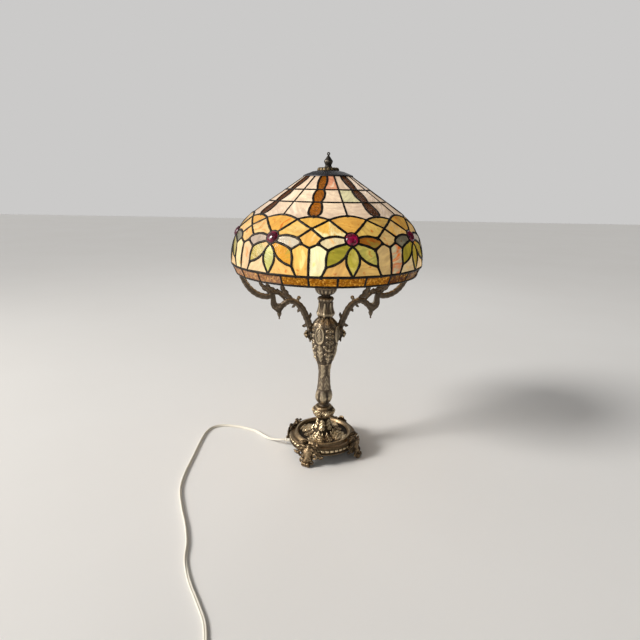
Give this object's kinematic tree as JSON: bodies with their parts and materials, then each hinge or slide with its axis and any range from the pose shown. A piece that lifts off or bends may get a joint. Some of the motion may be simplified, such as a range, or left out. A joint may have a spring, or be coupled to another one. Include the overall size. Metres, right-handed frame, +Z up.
{
  "type": "leaded glass table lamp",
  "caption": "Table lamp with a domed leaded glass shade of flower panels on a cast brass stem with side arms, scroll feet and a flat mains flex.",
  "frame": {"origin": "centre of the stem, on the surface that the feet stand on", "axes": "+Z up along the stem; the lamp faces -Y, where one jewel is 12.8 degrees to the right of the front; +X is on the right seen from the front"},
  "size_m": [0.4985, 0.8236, 0.665],
  "materials": {
    "antique_brass": "dark antique patina over cast brass, worn bright on the raised edges",
    "bright_brass": "cast brass with a brown patina left in the hollows",
    "steel": "zinc plated",
    "dark_cap": "dark bronze lacquer",
    "white_glass": "opalescent white sheet glass in lead came",
    "amber_glass": "streaky amber opalescent sheet glass in lead came",
    "rim_glass": "hammered brown amber glass in lead came",
    "ruby_glass": "polished ruby cabochon",
    "bulb_glass": "frosted",
    "white_plastic": "smooth",
    "black_plastic": "fine texture",
    "cord_white": "smooth PVC twin flex"
  },
  "bodies": {
    "lamp_body": {"base_casting": "bright_brass", "base_plate": "steel", "rod_nut": "steel", "lock_washer": "steel", "tie_rod": "steel", "top_stud": "steel", "cord_gland": "cord_white", "base_collar": "bright_brass", "ball_knop": "bright_brass", "baluster": "antique_brass", "vase": "antique_brass", "tulip_neck": "antique_brass", "drip_cup": "antique_brass", "arm_left": "antique_brass", "arm_screw_left": "bright_brass", "arm_drop_left": "antique_brass", "arm_right": "antique_brass", "arm_screw_right": "bright_brass", "arm_drop_right": "antique_brass", "cluster_hub": "bright_brass", "shade_seat": "bright_brass", "lampholder_1": "white_plastic", "bulb_1": "bulb_glass", "lampholder_2": "white_plastic", "bulb_2": "bulb_glass", "cord_run": "cord_white", "cord_link": "cord_white", "cord_coil": "cord_white", "cord_tail": "cord_white", "switch_body": "white_plastic", "plug": "white_plastic"},
    "rocker": {"switch_rocker": "black_plastic"},
    "shade": {"cone_panel_1": "white_glass", "belly_panel_1": "amber_glass", "jewel_1": "ruby_glass", "cone_panel_2": "white_glass", "belly_panel_2": "amber_glass", "jewel_2": "ruby_glass", "cone_panel_3": "white_glass", "belly_panel_3": "amber_glass", "jewel_3": "ruby_glass", "cone_panel_4": "white_glass", "belly_panel_4": "amber_glass", "jewel_4": "ruby_glass", "cone_panel_5": "white_glass", "belly_panel_5": "amber_glass", "jewel_5": "ruby_glass", "cone_panel_6": "white_glass", "belly_panel_6": "amber_glass", "jewel_6": "ruby_glass", "cone_panel_7": "white_glass", "belly_panel_7": "amber_glass", "jewel_7": "ruby_glass", "cone_panel_8": "white_glass", "belly_panel_8": "amber_glass", "jewel_8": "ruby_glass", "rim_band": "rim_glass", "shade_cap": "dark_cap", "rosette": "bright_brass"},
    "finial": {"finial": "dark_cap"}
  },
  "joints": [
    {"name": "shade_lift", "type": "slide", "parent": "lamp_body", "child": "shade", "axis": [0, 0, 1], "range_m": [0, 0.15]},
    {"name": "finial_turn", "type": "hinge", "parent": "shade", "child": "finial", "pos_m": [0, 0, 0.65], "axis": [0, 0, 1], "continuous": true},
    {"name": "switch_press", "type": "hinge", "parent": "lamp_body", "child": "rocker", "pos_m": [-0.088, -0.549, 0.0118], "axis": [0, 1, 0], "range_deg": [0, 15]}
  ]
}
